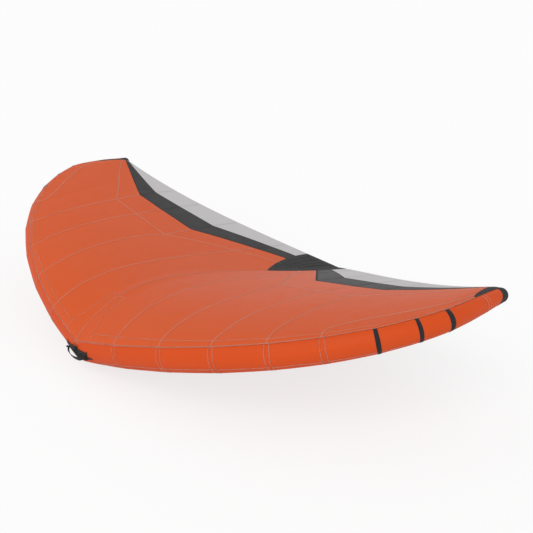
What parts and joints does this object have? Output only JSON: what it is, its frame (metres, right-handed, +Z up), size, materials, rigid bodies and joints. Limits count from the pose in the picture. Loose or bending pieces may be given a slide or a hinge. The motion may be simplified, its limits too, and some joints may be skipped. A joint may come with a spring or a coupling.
{
  "type": "inflatable foiling wing",
  "caption": "Hand-held inflatable foiling wing: a curved leading edge tube, a centre strut with two soft handles, and a single-skin canopy.",
  "frame": {"origin": "under the middle of the wing, at the height of its lowest point, on the plane that divides left from right", "axes": "+X along the span to the right, +Y from the nose to the tail, +Z up"},
  "size_m": [3.4692, 2.1019, 0.6812],
  "materials": {
    "orange_tube": "woven polyester, semi-matt",
    "orange_canopy": "ripstop, semi-matt",
    "orange_web": "ripstop, semi-matt",
    "black_fabric": "ripstop, semi-matt",
    "black_webbing": "webbing and padded cloth, matt",
    "grey_fabric": "ripstop, semi-matt",
    "orange_tape": "seam tape, semi-matt",
    "clear_film": "polyurethane film",
    "valve_plastic": "moulded plastic, satin"
  },
  "bodies": {
    "wing": {"air_link_tube": "clear_film", "canopy_black_left": "black_fabric", "canopy_black_right": "black_fabric", "canopy_centre_patch": "black_fabric", "canopy_front_left": "orange_canopy", "canopy_front_right": "orange_canopy", "canopy_grey_left": "grey_fabric", "canopy_grey_right": "grey_fabric", "canopy_rear_left": "orange_canopy", "canopy_rear_right": "orange_canopy", "canopy_tip_patch_left": "black_fabric", "canopy_tip_patch_right": "black_fabric", "handle_front_base": "orange_tube", "handle_rear_base": "orange_tube", "le_band_1_left": "black_webbing", "le_band_1_right": "black_webbing", "le_band_2_left": "black_webbing", "le_band_2_right": "black_webbing", "le_band_3_left": "black_webbing", "le_band_3_right": "black_webbing", "le_bladder": "clear_film", "le_casing_1_left": "orange_tube", "le_casing_1_right": "orange_tube", "le_casing_2_left": "orange_tube", "le_casing_2_right": "orange_tube", "le_casing_3_left": "orange_tube", "le_casing_3_right": "orange_tube", "le_casing_4_left": "orange_tube", "le_casing_4_right": "orange_tube", "le_casing_5_left": "orange_tube", "le_casing_5_right": "orange_tube", "le_casing_nose": "orange_tube", "le_casing_tip_left": "orange_tube", "le_casing_tip_right": "orange_tube", "le_seam_strip_left": "orange_tape", "le_seam_strip_right": "orange_tape", "le_tip_cap_left": "black_webbing", "le_tip_cap_right": "black_webbing", "leash_loop": "black_webbing", "nose_pad": "black_webbing", "strut_bladder": "clear_film", "strut_casing_front": "orange_tube", "strut_casing_middle": "orange_tube", "strut_casing_rear": "orange_tube", "strut_casing_tail": "orange_tube", "strut_tail_cap": "black_webbing", "valve_body": "valve_plastic", "web_centre": "orange_web"},
    "front_grip": {"handle_front_grip": "black_webbing"},
    "rear_grip": {"handle_rear_grip": "black_webbing"},
    "nose_strap": {"nose_handle": "black_webbing"},
    "cap": {"valve_cap": "valve_plastic"}
  },
  "joints": [
    {"name": "front_grip_swing", "type": "hinge", "parent": "wing", "child": "front_grip", "pos_m": [0, -0.4927, 0.0327], "axis": [0, 0.9998, -0.0186], "range_deg": [-60, 60]},
    {"name": "rear_grip_swing", "type": "hinge", "parent": "wing", "child": "rear_grip", "pos_m": [0, 0.1533, 0.02605], "axis": [0, 1, -0.0024], "range_deg": [-60, 60]},
    {"name": "nose_strap_swing", "type": "hinge", "parent": "wing", "child": "nose_strap", "pos_m": [0, -1.024, 0.12255], "axis": [1, 0, 0], "range_deg": [-60, 25]},
    {"name": "valve_cap_pull", "type": "slide", "parent": "wing", "child": "cap", "axis": [-0.0391, 0.9809, -0.1903], "range_m": [0, 0.02]}
  ]
}
